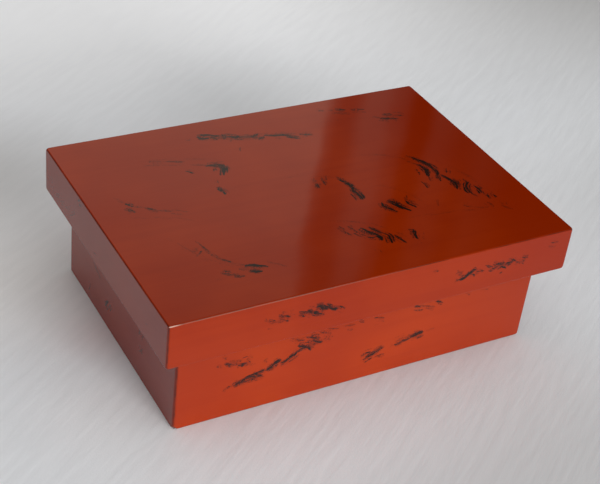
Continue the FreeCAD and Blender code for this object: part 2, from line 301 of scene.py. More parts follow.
MARKS["base", "front"] = (
    (42, -664, 274, 6, -646, 266, 10),
    (40, -642, 312, 4, -628, 302, 9),
    (75, -630, 276, 6, -616, 269, 13, -598, 262, 7, -576, 256, 5),
    (40, -604, 265, 4, -586, 259, 8, -570, 253, 4),
    (40, -580, 280, 4, -566, 271, 10),
    (100, -570, 252, 6, -554, 249, 14, -536, 250, 6),
    (55, -540, 268, 4, -528, 256, 11, -520, 248, 4),
    (30, -538, 244, 4, -514, 240, 9, -496, 236, 4),
    (28, -458, 242, 5, -444, 232, 10),
    (22, -614, 289, 4, -592, 283, 9),
    (45, -626, 136, 6, -612, 148, 11, -590, 152, 10, -574, 151, 6),
    (100, -582, 150, 7, -566, 156, 16, -550, 162, 15, -536, 170, 11),
    (90, -546, 166, 9, -530, 173, 12, -514, 177, 11, -498, 179, 13, -480, 183, 13, -454, 187, 7),
    (75, -550, 156, 5, -524, 158, 11, -502, 159, 11, -486, 155, 5),
    (85, -516, 169, 5, -496, 169, 13, -478, 166, 11, -458, 165, 5),
    (70, -488, 176, 5, -470, 174, 10, -456, 179, 6),
    (25, -570, 140, 5, -536, 144, 10, -500, 146, 5),
    (45, -450, 178, 5, -438, 179, 11),
    (100, -440, 186, 8, -426, 194, 22, -413, 202, 17),
    (100, -418, 201, 8, -409, 210, 14, -399, 216, 21, -384, 222, 7),
    (40, -418, 188, 5, -396, 197, 11),
    (100, -378, 199, 6, -366, 202, 18, -350, 212, 8),
    (80, -358, 210, 8, -342, 220, 18, -326, 229, 19, -312, 238, 8),
    (65, -320, 235, 7, -300, 246, 15, -278, 250, 7),
    (100, -308, 270, 6, -292, 264, 14, -278, 256, 19, -264, 251, 7),
    (85, -270, 254, 6, -257, 246, 14, -248, 232, 6),
    (55, -278, 279, 5, -264, 277, 15, -252, 270, 5),
    (75, -318, 301, 4, -300, 294, 9, -284, 292, 4),
    (85, -274, 301, 4, -250, 294, 9, -228, 287, 10, -214, 281, 6),
    (80, -246, 278, 4, -228, 270, 11, -214, 262, 13, -198, 258, 6),
    (60, -250, 262, 4, -232, 254, 10),
    (50, -252, 310, 4, -234, 305, 8, -214, 299, 4),
    (55, -218, 315, 4, -194, 306, 9, -164, 297, 4),
    (35, -180, 321, 4, -154, 311, 8, -130, 306, 4),
    (40, -348, 317, 4, -328, 309, 9, -312, 304, 4),
    (30, -352, 307, 4, -330, 301, 7, -310, 296, 4),
    (30, -194, 287, 4, -170, 279, 8, -146, 269, 4),
    (30, -202, 275, 4, -180, 268, 8, -160, 260, 4),
    (45, -98, 313, 4, -74, 309, 9, -52, 304, 4),
    (50, -32, 317, 4, -20, 312, 9, -8, 308, 4),
    (50, 38, 311, 4, 62, 308, 8, 86, 301, 4),
    (22, 60, 291, 4, 86, 281, 8),
    (85, 234, 320, 5, 254, 315, 11, 276, 309, 5),
    (45, 270, 310, 4, 302, 299, 10, 334, 286, 5),
    (30, 246, 291, 4, 266, 288, 8, 284, 283, 4),
    (60, 336, 317, 5, 354, 310, 11, 372, 299, 5),
    (28, 486, 318, 4, 506, 309, 11),
    (25, 572, 316, 4, 602, 310, 10),
    (90, 20, 101, 5, 38, 109, 12, 54, 114, 13, 70, 121, 12, 88, 129, 14, 110, 137, 6),
    (60, 4, 125, 4, 24, 130, 10, 48, 132, 5),
    (35, 60, 139, 4, 80, 147, 9, 98, 153, 4),
    (50, 70, 95, 4, 92, 100, 11, 116, 102, 5),
    (30, 0, 100, 4, 24, 100, 8),
    (22, 142, 131, 4, 158, 138, 9),
    (65, 164, 138, 5, 178, 134, 14, 194, 136, 6),
    (70, 186, 140, 5, 202, 146, 12, 222, 149, 10, 240, 153, 6),
    (100, 238, 153, 6, 252, 158, 14, 264, 164, 20, 278, 169, 15, 294, 173, 6),
    (50, 248, 172, 4, 270, 177, 9),
    (40, 164, 155, 4, 182, 159, 9),
    (35, 186, 165, 4, 204, 170, 9),
    (40, 218, 161, 4, 232, 169, 9),
    (22, 248, 136, 4, 292, 147, 9),
    (25, 316, 165, 4, 354, 171, 10),
    (60, -130, 364, 5, -104, 372, 11, -76, 384, 5),
    (40, -68, 380, 5, -34, 392, 9, 4, 398, 5),
    (70, 410, 406, 5, 436, 416, 12, 464, 422, 5),
)
MARKS["base", "back"] = (
    (40, 440, 116, 5, 410, 124, 11, 376, 136, 6),
    (100, 384, 128, 7, 358, 140, 16, 330, 148, 16, 304, 154, 12, 280, 166, 6),
    (85, 310, 174, 5, 286, 184, 15, 262, 196, 13, 244, 202, 6),
    (60, 270, 152, 5, 246, 160, 10, 220, 164, 5),
    (35, 230, 206, 5, 186, 222, 10, 140, 230, 5),
    (80, -300, 226, 5, -324, 238, 14, -348, 244, 12, -370, 256, 5),
    (95, -372, 236, 6, -396, 246, 16, -420, 260, 14, -440, 270, 6),
    (40, -450, 264, 5, -490, 280, 9, -530, 288, 5),
    (30, -340, 274, 5, -380, 286, 9, -416, 292, 5),
)
MARKS["base", "left"] = (
    (50, -254, 254, 8, -246, 236, 18, -238, 216, 8),
    (40, -228, 246, 6, -216, 226, 14, -208, 208, 6),
    (40, -246, 158, 6, -234, 146, 12, -220, 132, 5),
    (40, 84, 134, 7, 90, 120, 16, 98, 106, 8),
    (70, 118, 138, 8, 130, 122, 20, 140, 109, 20, 148, 96, 8),
    (40, 214, 202, 6, 240, 210, 14, 270, 220, 12, 294, 228, 6),
    (25, 314, 86, 6, 324, 66, 14, 336, 48, 6),
    (50, -80, 364, 5, -54, 354, 12, -30, 340, 5),
)
MARKS["base", "right"] = (
    (90, -226, 132, 6, -202, 146, 16, -178, 156, 14, -154, 170, 6),
    (70, -186, 124, 5, -160, 134, 11, -132, 146, 5),
    (35, -146, 174, 5, -104, 190, 10, -60, 202, 5),
    (85, 210, 264, 5, 230, 250, 15, 250, 238, 12, 266, 222, 5),
    (50, 268, 254, 5, 286, 240, 11, 304, 228, 5),
)

# Each face's axis, which way along it the face looks, and the two axes that its marks use
FACES = {
    "front": (1, -1, (0, 2)),
    "back": (1, 1, (0, 2)),
    "left": (0, -1, (1, 2)),
    "right": (0, 1, (1, 2)),
    "top": (2, 1, (0, 1)),
}

# How deep in mm a face takes its marks, how fast a mark fades, its reach in widths, the gap in mm
# between the runs of two marks, and the steps from one point of a mark to the next
FACE_DEPTH = 0.3
MARK_FALL = 0.65
MARK_REACH = 1.4
MARK_GAP = 11.0
CURVE_STEPS = 6

# Wisps that the brush left beside each mark, in mm and in shares of its run and its darkness
WISP_SEED = 3
WISP_COUNT = 4
WISP_HALF_RUNS = (0.15, 0.4)
WISP_OFFSET = 1.25
WISP_WIDTHS = (0.5, 1.1)
WISP_DARKNESS = (0.3, 0.7)

# Corners worn blunt, each as its way along x, y and z, and how much is gone along its diagonal,
# with how far the wear is felt and how softly it ends, in mm
WORN_CORNERS = {
    "base": ((-1, -1, -1, 1.3), (1, -1, -1, 0.8), (1, 1, -1, 1.0), (-1, 1, -1, 0.7)),
    "lid": ((-1, -1, 1, 0.6), (1, -1, 1, 0.7), (1, 1, 1, 0.6), (-1, 1, 1, 0.8),
            (-1, -1, -1, 0.6), (1, -1, -1, 0.8), (1, 1, -1, 0.6), (-1, 1, -1, 0.7)),
}
WORN_REACH = 8.0
WORN_BLEND = 0.12

# Slow waves of hand-ground surfaces, in mm
WAVE_SEED = 7
WAVE_COUNT = 9
WAVE_HEIGHT = 0.012
WAVE_LENGTHS = (28.0, 90.0)
WAVE_FREE_HEIGHT = 10.0


# Coats


@dataclass
class Tray:
    """One half of the box in mm, measured inwards from its outside and from its closed face."""

    name: str
    side: str
    up: int
    corner_round: float
    face_round: float

    def __post_init__(self):
        low, high = (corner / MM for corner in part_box(self.name + "_outer_lacquer"))
        lining_low, lining_high = (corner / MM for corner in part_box(self.name + "_inner_lacquer"))
        board_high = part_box(self.side)[1] / MM
        self.half = (high.x, high.y)
        self.face = low.z if self.up > 0 else high.z
        self.height = high.z - low.z
        self.red = high.x - board_high.x
        self.lining = high.x - lining_high.x
        self.wall = self.lining + BLACK_COAT
        self.panel = lining_low.z - low.z if self.up > 0 else high.z - lining_high.z
        self.floor = self.panel + BLACK_COAT
        self.cavity_round = INNER_CORNER_ROUND + self.wall


def arc(inset, depth, radius, start, end):
    """Points round a centre, as (inset, depth), between two turns in degrees."""
    turns = np.radians(np.linspace(start, end, ROUND_SEGMENTS + 1))
    return [(inset - radius * sin(turn), depth - radius * cos(turn)) for turn in turns]


def wall(inset, start, end, spacing):
    """Points down a wall between two depths, with both ends."""
    steps = max(round(abs(end - start) / spacing), 1)
    return [(inset, depth) for depth in np.linspace(start, end, steps + 1)]


def stations(points, corner):
    """Each (inset, depth) with its corner's radius, which runs parallel to one at no inset."""
    return [(inset, depth, max(corner - inset, 0)) for inset, depth in points]


def outer_stations(tray):
    """Rings over the red coat, from its closed face to its outside, its mouth and the boards."""
    foot, lip, mouth = tray.face_round, MOUTH_ROUND, tray.height
    crown = [(tray.corner_round, 0)] if tray.up < 0 else []
    outer = crown + [(foot + EDGE_LOOP, 0)]
    outer += arc(foot, foot, foot, 0, 90)
    outer += wall(0, foot + EDGE_LOOP, mouth - lip - EDGE_LOOP, RED_SPACING)
    outer += arc(lip, mouth - lip, lip, 90, 180)
    outer += [(lip + EDGE_LOOP, mouth)]
    inner = [(tray.wall - lip - EDGE_LOOP, mouth)]
    inner += arc(tray.wall - lip, mouth - lip, lip, 180, 270)
    inner += [(tray.wall, mouth - tray.red)]
    core_face = tray.red if tray.up < 0 else 0
    back = [(tray.red, mouth - tray.red), (tray.red, core_face)]
    rounded = stations(outer, tray.corner_round) + stations(inner, tray.cavity_round)
    return rounded + stations(back, 0)


def lining_stations(tray):
    """Rings over the black coat, from the middle of its floor up its walls and down the boards."""
    fillet, rim = INNER_FLOOR_ROUND, tray.height - tray.red
    inner = [(tray.wall + INNER_CORNER_ROUND, tray.floor)]
    inner += [(tray.wall + fillet + EDGE_LOOP, tray.floor)]
    inner += arc(tray.wall + fillet, tray.floor + fillet, fillet, 0, 90)
    inner += wall(tray.wall, tray.floor + fillet + EDGE_LOOP, rim, BLACK_SPACING)
    back = [(tray.lining, rim), (tray.lining, tray.panel)]
    return stations(inner, tray.cavity_round) + stations(back, 0)


def ring(tray, station, counts):
    """Points round the tray at a station, as many at every one."""
    inset, depth, corner = station
    reach = np.array(tray.half) - inset - corner
    corners = [reach * way for way in ((1, -1), (1, 1), (-1, 1), (-1, -1))]
    points = []
    for turn in range(4):
        angles = np.linspace(turn - 1, turn, ROUND_SEGMENTS + 1) * pi / 2
        rounded = corners[turn] + corner * np.stack([np.cos(angles), np.sin(angles)], 1)
        ahead = np.array([cos(turn * pi / 2), sin(turn * pi / 2)])
        last = corners[(turn + 1) % 4] + corner * ahead
        shares = np.linspace(0, 1, counts[(turn + 1) % 2] + 1)[1:-1, None]
        points += [rounded, rounded[-1] + (last - rounded[-1]) * shares]
    points = np.concatenate(points)
    return np.column_stack([points, np.full(len(points), tray.face + tray.up * depth)])


def grid(tray, station, counts):
    """Points and faces of the flat middle inside the first ring."""
    inset, depth, _ = station
    across, along = (np.linspace(-half + inset, half - inset, count + 1)
                     for half, count in zip(tray.half, counts))
    x, y = np.meshgrid(across, along)
    points = np.column_stack([x.ravel(), y.ravel(), np.full(x.size, tray.face + tray.up * depth)])
    index = np.arange(x.size).reshape(x.shape)
    corners = (index[:-1, :-1], index[:-1, 1:], index[1:, 1:], index[1:, :-1])
    return points, np.stack([corner.ravel() for corner in corners], 1)


def loft(name, tray, levels, spacing, capped):
    """A closed mesh through the rings at some stations, in mm.

    Capped, it has a flat middle inside its first ring and one hidden face inside its last.
    Otherwise the last ring meets the first.
    """
    counts = [round(2 * half / spacing) for half in tray.half]
    rings = [ring(tray, station, counts) for station in levels]
    size = len(rings[0])
    steps = np.arange(size)
    below = np.arange(len(rings) - 1 if capped else len(rings))[:, None]
    above = (below + 1) % len(rings)
    beside = np.roll(steps, -1)
    corners = (below * size + steps, below * size + beside, above * size + beside,
               above * size + steps)
    faces = np.stack([corner.ravel() for corner in corners], 1).tolist()
    points = np.concatenate(rings)
    if capped:
        middle, middle_faces = grid(tray, levels[0], counts)
        faces += (middle_faces + len(points)).tolist()
        faces.append((steps + size * (len(rings) - 1)).tolist())
        points = np.concatenate([points, middle])
    mesh = bpy.data.meshes.new(name)
    mesh.from_pydata(points.tolist(), [], faces)
    weld(mesh)
    return mesh


def weld(mesh):
    """Joins the points that lie on each other and turns every face outwards."""
    work = bmesh.new()
    work.from_mesh(mesh)
    bmesh.ops.remove_doubles(work, verts=work.verts, dist=WELD)
    bmesh.ops.recalc_face_normals(work, faces=work.faces)
    work.to_mesh(mesh)
    work.free()


def places(mesh):
    """The mesh's points as an array."""
    points = np.empty(len(mesh.vertices) * 3)
    mesh.vertices.foreach_get("co", points)
    return points.reshape(-1, 3)


def worn(points, corner, way, gone):
    """Points with one corner blunted, in mm."""
    near = np.flatnonzero(np.abs(points - corner).max(1) < WORN_REACH)
    spare = -gone - (points[near] - corner) @ way
    kept = WORN_BLEND * np.logaddexp(0, spare / WORN_BLEND)
    points[near] += (spare - kept)[:, None] * way
    return points


def uneven(points):
    """Points moved by the slow waves of a surface ground by hand, which stay off the ground."""
    random = np.random.default_rng(WAVE_SEED)
    shift = np.zeros_like(points)
    for _ in range(WAVE_COUNT):
        heading, swing = (row / np.linalg.norm(row) for row in random.normal(size=(2, 3)))
        turns = points @ heading / random.uniform(*WAVE_LENGTHS) + random.uniform()
        shift += WAVE_HEIGHT * swing * np.sin(2 * pi * turns)[:, None]
    shift[:, 2] *= np.clip(points[:, 2] / WAVE_FREE_HEIGHT, 0, 1)
    return points + shift


def curve(points):
    """A smooth path through some points, with their widths."""
    padded = np.concatenate([2 * points[:1] - points[1:2], points, 2 * points[-1:] - points[-2:-1]])
    path = []
    for before, start, end, after in zip(padded, padded[1:], padded[2:], padded[3:]):
        for share in np.linspace(0, 1, CURVE_STEPS, endpoint=False):
            bend = (2 * before - 5 * start + 4 * end - after) * share ** 2
            turn = (3 * start - 3 * end + after - before) * share ** 3
            path.append(start + ((end - before) * share + bend + turn) / 2)
    return np.array(path + [points[-1]])


def strokes(marks):
    """Each mark's darkness and path, followed by those of the wisps beside it."""
    random = np.random.default_rng(WISP_SEED)
    for percent, *points in marks:
        darkness = percent / PERCENT
        path = curve(np.reshape(points, (-1, 3)) / TENTHS)
        yield darkness, path
        run = np.gradient(path[:, :2], axis=0)
        side = np.column_stack([-run[:, 1], run[:, 0]]) / np.linalg.norm(run, axis=1)[:, None]
        for _ in range(WISP_COUNT):
            middle, half = random.uniform(0, 1), random.uniform(*WISP_HALF_RUNS)
            ends = np.clip([middle - half, middle + half], 0, 1) * (len(path) - 1)
            first, last = ends.astype(int)
            wisp = path[first:last + 1].copy()
            wisp[:, :2] += side[first:last + 1] * random.normal() * WISP_OFFSET
            wisp[:, 2] = random.uniform(*WISP_WIDTHS)
            wisp_darkness = darkness * random.uniform(*WISP_DARKNESS)
            if len(wisp) > 1:
                yield wisp_darkness, wisp


def paint(places_on_face, marks):
    """How far along and across its nearest mark each point lies, in mm, and how dark it is."""
    count = len(places_on_face)
    along, across, dark = np.zeros(count), np.zeros(count), np.zeros(count)
    closest = np.full(count, np.inf)
    for number, (darkness, path) in enumerate(strokes(marks)):
        margin = path[:, 2].max() * MARK_REACH
        inside = (places_on_face > path[:, :2].min(0) - margin) & (
            places_on_face < path[:, :2].max(0) + margin)
        near = np.flatnonzero(inside.all(1))
        start_length = number * MARK_GAP
        for start, end in zip(path, path[1:]):
            run = end[:2] - start[:2]
            length = hypot(*run)
            offset = places_on_face[near] - start[:2]
            share = np.clip(offset @ run / length ** 2, 0, 1)
            side = (run[0] * offset[:, 1] - run[1] * offset[:, 0]) / length
            distance = np.hypot(*(offset - share[:, None] * run).T)
            ratio = distance / (start[2] + (end[2] - start[2]) * share) * 2
            better = ratio < closest[near]
            chosen = near[better]
            closest[chosen] = ratio[better]
            along[chosen] = start_length + share[better] * length
            across[chosen] = side[better]
            dark[near] = np.maximum(dark[near], darkness * np.exp(-MARK_FALL * ratio ** 2))
            start_length += length
    return np.stack([along, across, dark], 1)


def marked(points, name):
    """The ink at every point of a half's coat."""
    ink = np.zeros((len(points), 3))
    for (half, face), marks in MARKS.items():
        if half != name:
            continue
        axis, way, axes = FACES[face]
        height = points[:, axis] * way
        on_face = np.flatnonzero(height > height.max() - FACE_DEPTH)
        ink[on_face] = paint(points[on_face][:, axes], marks)
    return ink


def red_coat(tray, material):
    """The tray's outside, with its marks and its blunted corners."""
    name = tray.name + "_red_coat"
    mesh = loft(name, tray, outer_stations(tray), RED_SPACING, tray.up < 0)
    points = places(mesh)
    ink = marked(points, tray.name)
    mesh.attributes.new("ink", "FLOAT_VECTOR", "POINT").data.foreach_set("vector", ink.ravel())
    low, high = points.min(0), points.max(0)
    for *way, gone in WORN_CORNERS[tray.name]:
        way = np.array(way)
        points = worn(points, np.where(way > 0, high, low), way / np.linalg.norm(way), gone)
    finish_coat(tray, mesh, points, "outer_lacquer", material)


def black_coat(tray, material):
    """The tray's lining."""
    name = tray.name + "_black_coat"
    mesh = loft(name, tray, lining_stations(tray), BLACK_SPACING, True)
    finish_coat(tray, mesh, places(mesh), "inner_lacquer", material)


def new_object(name, data):
    """An object of that name in the scene."""
    piece = bpy.data.objects.new(name, data)
    bpy.context.scene.collection.objects.link(piece)
    return piece


def finish_coat(tray, mesh, points, node, material):
    """Puts a coat's mesh in its place, as the piece that stands for its CAD node."""
    mesh.vertices.foreach_set("co", (uneven(points) * MM).ravel())
    mesh.shade_smooth()
    mesh.materials.append(material)
    piece = new_object(mesh.name, mesh)
    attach(piece, tray.name)
    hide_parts(tray.name + "_" + node)


# Materials, with linear colours and reliefs in metres. A noise has its waves to the metre, three
# of them for lines, of which one is along them, and then its detail and its roughness.


class Graph:
    """A node tree, built by calls that each add one node and give its output."""

    def __init__(self, owner):
        owner.use_nodes = True
        self.tree = owner.node_tree
        self.tree.nodes.clear()

    def add(self, kind, feeds, **settings):
        node = self.tree.nodes.new("ShaderNode" + kind)
        for setting, value in settings.items():
            setattr(node, setting, value)
        for socket, value in feeds.items():
            if isinstance(value, bpy.types.NodeSocket):
                self.tree.links.new(value, node.inputs[socket])
            else:
                node.inputs[socket].default_value = value
        return node

    def coordinates(self, name="Object"):
        return self.add("TexCoord", {}).outputs[name]

    def math(self, operation, *values):
        return self.add("Math", dict(enumerate(values)), operation=operation).outputs[0]

    def vector(self, operation, *values):
        return self.add("VectorMath", dict(enumerate(values)), operation=operation).outputs[0]

    def split(self, vector):
        return self.add("SeparateXYZ", {0: vector}).outputs

    def joined(self, x, y, z):
        return self.add("CombineXYZ", {0: x, 1: y, 2: z}).outputs[0]

    def noise(self, vector, scale, detail, roughness):
        feeds = {"Vector": vector, "Scale": scale, "Detail": detail, "Roughness": roughness}
        return self.add("TexNoise", feeds).outputs[0]

    def lines(self, vector, scales, detail, roughness):
        """Noise drawn out into lines, at a scale of its own along each axis."""
        return self.noise(self.vector("MULTIPLY", vector, scales), 1.0, detail, roughness)

    def fade(self, value, start, end, low=0.0, high=1.0):
        """A smooth change from low to high as the value goes from start to end."""
        feeds = {"Value": value, "From Min": start, "From Max": end, "To Min": low, "To Max": high}
        return self.add("MapRange", feeds, interpolation_type="SMOOTHSTEP").outputs[0]

    def mix(self, share, first, second):
        return self.add("Mix", {0: share, 6: first, 7: second}, data_type="RGBA").outputs[2]

    def levels(self, value, stops):
        """A level for each value, straight between stops of a value and its level."""
        start, end = stops[0][0], stops[-1][0]
        share = self.add("MapRange", {"Value": value, "From Min": start, "From Max": end})
        node = self.add("ValToRGB", {0: share.outputs[0]})
        elements = node.color_ramp.elements
        while len(elements) < len(stops):
            elements.new(1.0)
        for element, (place, level) in zip(elements, stops):
            element.position = (place - start) / (end - start)
            element.color = grey(level)
        return node.outputs[0]

    def bump(self, height, distance, normal=None):
        feeds = {"Height": height, "Distance": distance}
        if normal:
            feeds["Normal"] = normal
        return self.add("Bump", feeds).outputs[0]

    def finish(self, feeds):
        """Ends a material in one glossy or matt surface."""
        shader = self.add("BsdfPrincipled", feeds).outputs[0]
        self.add("OutputMaterial", {"Surface": shader})


def new_material(name):
    material = bpy.data.materials.new(name)
    return material, Graph(material)


def grey(level):
    return (level, level, level, 1.0)


# Red lacquer: its coat, the black under it, its worn edges, a painted highlight on the upper front
# edges, and painted light and shade as tones on the halves and their ends
RED = (0.31, 0.0215, 0.0005, 1.0)
RED_DEEP = (0.250, 0.0150, 0.0004, 1.0)
RED_LIGHT = (0.34, 0.028, 0.0010, 1.0)
INK = (0.013, 0.0045, 0.003, 1.0)
WORN = (0.035, 0.010, 0.008, 1.0)
# The next colour is a painted highlight for the upper front edges
PAINTED_HIGHLIGHT = (0.66, 0.42, 0.34, 1.0)
RED_ROUGHNESS = (0.035, 0.06)
# Painted light and shade: the base lighter, the lid a little darker and the ends darker
LID_PAINTED_SHADE = (0.965, 0.98, 0.90, 1.0)
BASE_PAINTED_LIGHT = (1.12, 1.28, 1.10, 1.0)
END_PAINTED_SHADE = (0.80, 0.70, 0.70, 1.0)
LACQUER_IOR = 1.38
RED_LINES = ((14, 1500, 1500), 3.0, 0.6)
RED_BROAD_LINES = ((9, 260, 260), 2.0, 0.5)
RED_BRUSHED = ((12, 700, 700), 2.0, 0.5)
RED_CLOUDS = (16.0, 3.0, 0.55)
RED_SPECKLES = (900.0, 3.0, 0.65)
RED_WEAR = (110.0, 4.0, 0.6)
RED_GLOSS = (45.0, 4.0, 0.6)
RED_RIPPLES = (150.0, 2.0, 0.5)
RED_BRUSHED_RELIEF = 2e-6
RED_RIPPLE_RELIEF = 4e-6

# Streaks along the marks, in waves to the mm, and how strongly a mark covers
INK_HAIRS = ((0.12, 1.15, 0), 2.0, 0.6)
INK_STRENGTH = 1.44

# Where along x the painted shade deepens the red and the painted highlight grows, in metres, and
# how squarely an end, a worn edge and the painted highlight look along their axes
RED_PAINTED_SHADE_RUN = (0.02, 0.10)
HIGHLIGHT_RUN = (0.04, -0.05)
HIGHLIGHT_END = (-0.086, -0.0905)
END_FACING = 0.7
WORN_FACING = (0.985, 0.82)
HIGHLIGHT_FORWARD = (-0.5, -0.7)
HIGHLIGHT_UPWARD = (0.12, 0.32)


def red_lacquer(name, painted_light_tone):
    """Polished red lacquer with faint brush lines, dark marks let into it, dark worn edges, painted
    light and shade in its tones and a painted highlight on the upper front edges.
    """
    material, graph = new_material(name + "_red_lacquer")
    place = graph.coordinates()
    normal = graph.coordinates("Normal")
    facing = graph.split(graph.vector("ABSOLUTE", normal))

    # Brush lines run round the box: along x on the long faces and the top, along y on the ends
    x, y, z = graph.split(place)
    at_end = graph.math("GREATER_THAN", facing[0], END_FACING)
    turned = graph.joined(y, x, z)
    run = graph.mix(at_end, place, turned)
    lines = graph.lines(run, *RED_LINES)
    broad_lines = graph.lines(run, *RED_BROAD_LINES)
    cloud = graph.noise(place, *RED_CLOUDS)
    speckle = graph.noise(place, *RED_SPECKLES)

    clouded = graph.mix(graph.fade(cloud, 0.35, 0.65), RED_DEEP, RED_LIGHT)
    red = graph.mix(0.55, clouded, RED)
    red = graph.mix(graph.fade(broad_lines, 0.45, 0.75, 0.0, 0.25), red, RED_DEEP)
    red = graph.mix(graph.fade(lines, 0.5, 0.8, 0.0, 0.35), red, RED_LIGHT)
    # Painted shade: the red darkens towards +X
    red = graph.mix(graph.fade(x, *RED_PAINTED_SHADE_RUN, 0.0, 0.85), red, RED_DEEP)
    # Painted light and shade: each half's tone, and a darker tone on the ends
    red = graph.vector("MULTIPLY", red, graph.mix(at_end, painted_light_tone, END_PAINTED_SHADE))

    # Marks, streaked along their own run and ragged at their rims
    ink = graph.add("Attribute", {}, attribute_name="ink").outputs["Vector"]
    dark = graph.split(ink)[2]
    hairs = graph.lines(ink, *INK_HAIRS)
    ragged = graph.math("ADD", graph.fade(hairs, 0.36, 0.6, -0.75, 0.4),
                        graph.fade(speckle, 0.3, 0.7, -0.2, 0.2))
    covered = graph.fade(graph.math("MULTIPLY_ADD", dark, INK_STRENGTH, ragged), 0.1, 1.1)
    covered = graph.math("MULTIPLY", covered, graph.fade(dark, 0.03, 0.22))
    colour = graph.mix(covered, red, INK)

    # Wear, where the coat turns over an edge
    widest = graph.math("MAXIMUM", graph.math("MAXIMUM", facing[0], facing[1]), facing[2])
    turning = graph.fade(widest, *WORN_FACING)
    patchy = graph.fade(graph.noise(place, *RED_WEAR), 0.38, 0.62)
    edge = graph.math("MULTIPLY", turning, graph.math("MULTIPLY_ADD", patchy, 0.45, 0.25))
    colour = graph.mix(edge, colour, WORN)

    # A painted highlight along the upper front edges, brightest at the lid's left end
    forward, upward = graph.split(normal)[1:]
    forward, upward = graph.fade(forward, *HIGHLIGHT_FORWARD), graph.fade(upward, *HIGHLIGHT_UPWARD)
    along, at_corner = graph.fade(x, *HIGHLIGHT_RUN, 0.0, 0.15), graph.fade(x, *HIGHLIGHT_END, 0.0, 0.65)
    painted_highlight = graph.math("MULTIPLY", forward, upward)
    painted_highlight = graph.math("MULTIPLY", painted_highlight, graph.math("ADD", along, at_corner))
    colour = graph.mix(painted_highlight, colour, PAINTED_HIGHLIGHT)

    rough = graph.fade(graph.noise(place, *RED_GLOSS), 0.3, 0.7, *RED_ROUGHNESS)
    rough = graph.math("MULTIPLY_ADD", covered, 0.04, rough)
    ripple = graph.bump(graph.noise(place, *RED_RIPPLES), RED_RIPPLE_RELIEF)
    brushed = graph.bump(graph.lines(run, *RED_BRUSHED), RED_BRUSHED_RELIEF, ripple)
    graph.finish({"Base Color": colour, "Roughness": rough, "IOR": LACQUER_IOR, "Normal": brushed})
    return material


# Black lacquer: its coat, where it is thin, and the dust on it
BLACK = (0.010, 0.0082, 0.0076, 1.0)
BLACK_BROWN = (0.024, 0.0135, 0.0100, 1.0)
BLACK_DUSTY = grey(0.25)
BLACK_ROUGHNESS = (0.12, 0.24)
BLACK_LINES = ((20, 420, 420), 3.0, 0.6)
BLACK_CLOUDS = (22.0, 4.0, 0.6)
BLACK_DUST = (1600.0, 2.0, 0.5)
BLACK_GLOSS = (60.0, 4.0, 0.6)
BLACK_RIPPLES = (120.0, 2.0, 0.5)
BLACK_LINE_RELIEF = 4e-6
BLACK_RIPPLE_RELIEF = 8e-6


def black_lacquer():
    """Black lacquer, softly polished, a little brown where it is thin, with a trace of dust."""
    material, graph = new_material("black_lacquer")
    place = graph.coordinates()
    cloud = graph.noise(place, *BLACK_CLOUDS)
    dust = graph.noise(place, *BLACK_DUST)
    colour = graph.mix(graph.fade(cloud, 0.4, 0.7), BLACK, BLACK_BROWN)
    colour = graph.mix(graph.fade(dust, 0.72, 0.8, 0.0, 0.12), colour, BLACK_DUSTY)
    lines = graph.lines(place, *BLACK_LINES)
    rough = graph.fade(graph.noise(place, *BLACK_GLOSS), 0.3, 0.7, *BLACK_ROUGHNESS)
    rough = graph.math("MULTIPLY_ADD", graph.fade(lines, 0.4, 0.7), 0.05, rough)
    ripple = graph.bump(graph.noise(place, *BLACK_RIPPLES), BLACK_RIPPLE_RELIEF)
    brushed = graph.bump(lines, BLACK_LINE_RELIEF, ripple)
    graph.finish({"Base Color": colour, "Roughness": rough, "IOR": LACQUER_IOR, "Normal": brushed})
    return material


# Woods, each as its early and late wood and the width of its rings in mm
CYPRESS = ((0.62, 0.44, 0.25, 1.0), (0.42, 0.25, 0.11, 1.0), 2.2)
HARD_WOOD = ((0.36, 0.21, 0.10, 1.0), (0.19, 0.09, 0.035, 1.0), 1.0)
PALE_WOOD = ((0.52, 0.38, 0.20, 1.0), (0.33, 0.20, 0.09, 1.0), 0.8)
WOOD_ROUGHNESS = (0.55, 0.72)
WOOD_BENDS = ((9, 60, 60), 3.0, 0.5)
WOOD_FIBRES = ((60, 2600, 2600), 3.0, 0.65)
WOOD_RELIEF = 3e-5

# How steeply the rings lie in a board, how many of their widths they wander, and how sharply late
# wood ends a ring
RING_SLOPE = 0.35
RING_WANDER = 4
RING_SHARPNESS = 2.6


def wood(name, early, late, ring_width, heading):
    """Planed wood with its grain along a heading, in degrees from x."""
    material, graph = new_material(name)
    feeds = {"Vector": graph.coordinates(), "Rotation": (0, 0, -radians(heading))}
    place = graph.add("Mapping", feeds).outputs[0]
    bend = graph.lines(place, *WOOD_BENDS)
    _, y, z = graph.split(place)
    rings = graph.math("MULTIPLY_ADD", z, RING_SLOPE, y)
    rings = graph.math("MULTIPLY_ADD", bend, RING_WANDER * ring_width * MM, rings)
    rings = graph.math("FRACT", graph.math("DIVIDE", rings, ring_width * MM))
    late_wood = graph.math("POWER", rings, RING_SHARPNESS)
    fibres = graph.lines(place, *WOOD_FIBRES)
    colour = graph.mix(late_wood, early, late)
    colour = graph.mix(graph.fade(fibres, 0.4, 0.75, 0.0, 0.35), colour, late)
    relief = graph.math("MULTIPLY_ADD", fibres, 0.6, late_wood)
    rough = graph.fade(fibres, 0.3, 0.7, *WOOD_ROUGHNESS)
    normal = graph.bump(relief, WOOD_RELIEF)
    graph.finish({"Base Color": colour, "Roughness": rough, "Normal": normal})
    return material


